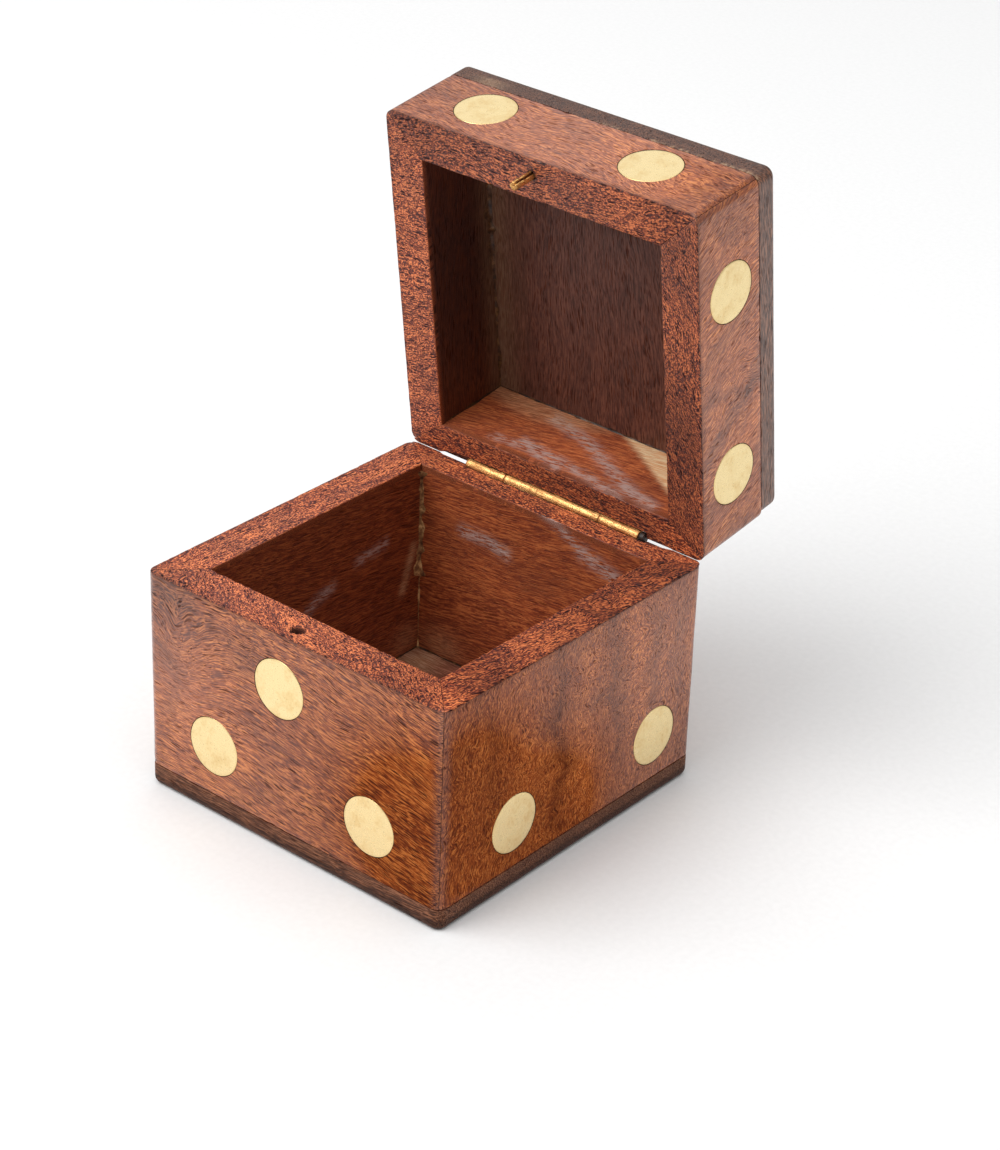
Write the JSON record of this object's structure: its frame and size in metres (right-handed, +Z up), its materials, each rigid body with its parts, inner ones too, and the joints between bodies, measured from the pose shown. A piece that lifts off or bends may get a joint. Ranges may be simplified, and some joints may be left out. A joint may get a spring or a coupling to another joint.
{
  "type": "hinged dice box",
  "caption": "Small square hardwood box shaped like a die, mitred walls, brass inlaid spots, hinged lid with closing peg; holds a set of small dice.",
  "frame": {"origin": "middle of the flat underside", "axes": "+Z up, +X to the right seen from the front, the front with the peg hole faces -Y, the hinge runs along X at the top of the back"},
  "size_m": [0.064, 0.0837, 0.1063],
  "materials": {
    "wall_wood": "reddish-brown hardwood, varnished, semi-gloss",
    "panel_wood": "dark brown hardwood, satin",
    "spot_brass": "sanded brass, satin",
    "hinge_brass": "rolled brass, fine pits",
    "peg_brass": "dull brass wire",
    "pin_steel": "dark oxidised steel"
  },
  "bodies": {
    "base": {"base_back_wall": "wall_wood", "base_front_wall": "wall_wood", "base_left_wall": "wall_wood", "base_panel": "panel_wood", "base_right_wall": "wall_wood", "hinge_base_leaf": "hinge_brass", "hinge_base_nail_1": "hinge_brass", "hinge_base_nail_2": "hinge_brass", "hinge_base_nail_3": "hinge_brass", "hinge_pin": "pin_steel", "spot_back_1": "spot_brass", "spot_bottom_1": "spot_brass", "spot_bottom_2": "spot_brass", "spot_bottom_3": "spot_brass", "spot_bottom_4": "spot_brass", "spot_bottom_5": "spot_brass", "spot_bottom_6": "spot_brass", "spot_front_1": "spot_brass", "spot_front_2": "spot_brass", "spot_front_3": "spot_brass", "spot_left_2": "spot_brass", "spot_left_3": "spot_brass", "spot_right_1": "spot_brass", "spot_right_2": "spot_brass"},
    "lid": {"closing_peg": "peg_brass", "hinge_lid_leaf": "hinge_brass", "hinge_lid_nail_1": "hinge_brass", "hinge_lid_nail_2": "hinge_brass", "hinge_lid_nail_3": "hinge_brass", "lid_back_wall": "wall_wood", "lid_front_wall": "wall_wood", "lid_left_wall": "wall_wood", "lid_panel": "panel_wood", "lid_right_wall": "wall_wood", "spot_back_2": "spot_brass", "spot_front_4": "spot_brass", "spot_front_5": "spot_brass", "spot_left_1": "spot_brass", "spot_right_3": "spot_brass", "spot_right_4": "spot_brass", "spot_top_1": "spot_brass"}
  },
  "joints": [
    {"name": "lid_hinge", "type": "hinge", "parent": "base", "child": "lid", "pos_m": [0, 0.032, 0.0404], "axis": [1, 0, 0], "range_deg": [0, 82.5]}
  ]
}
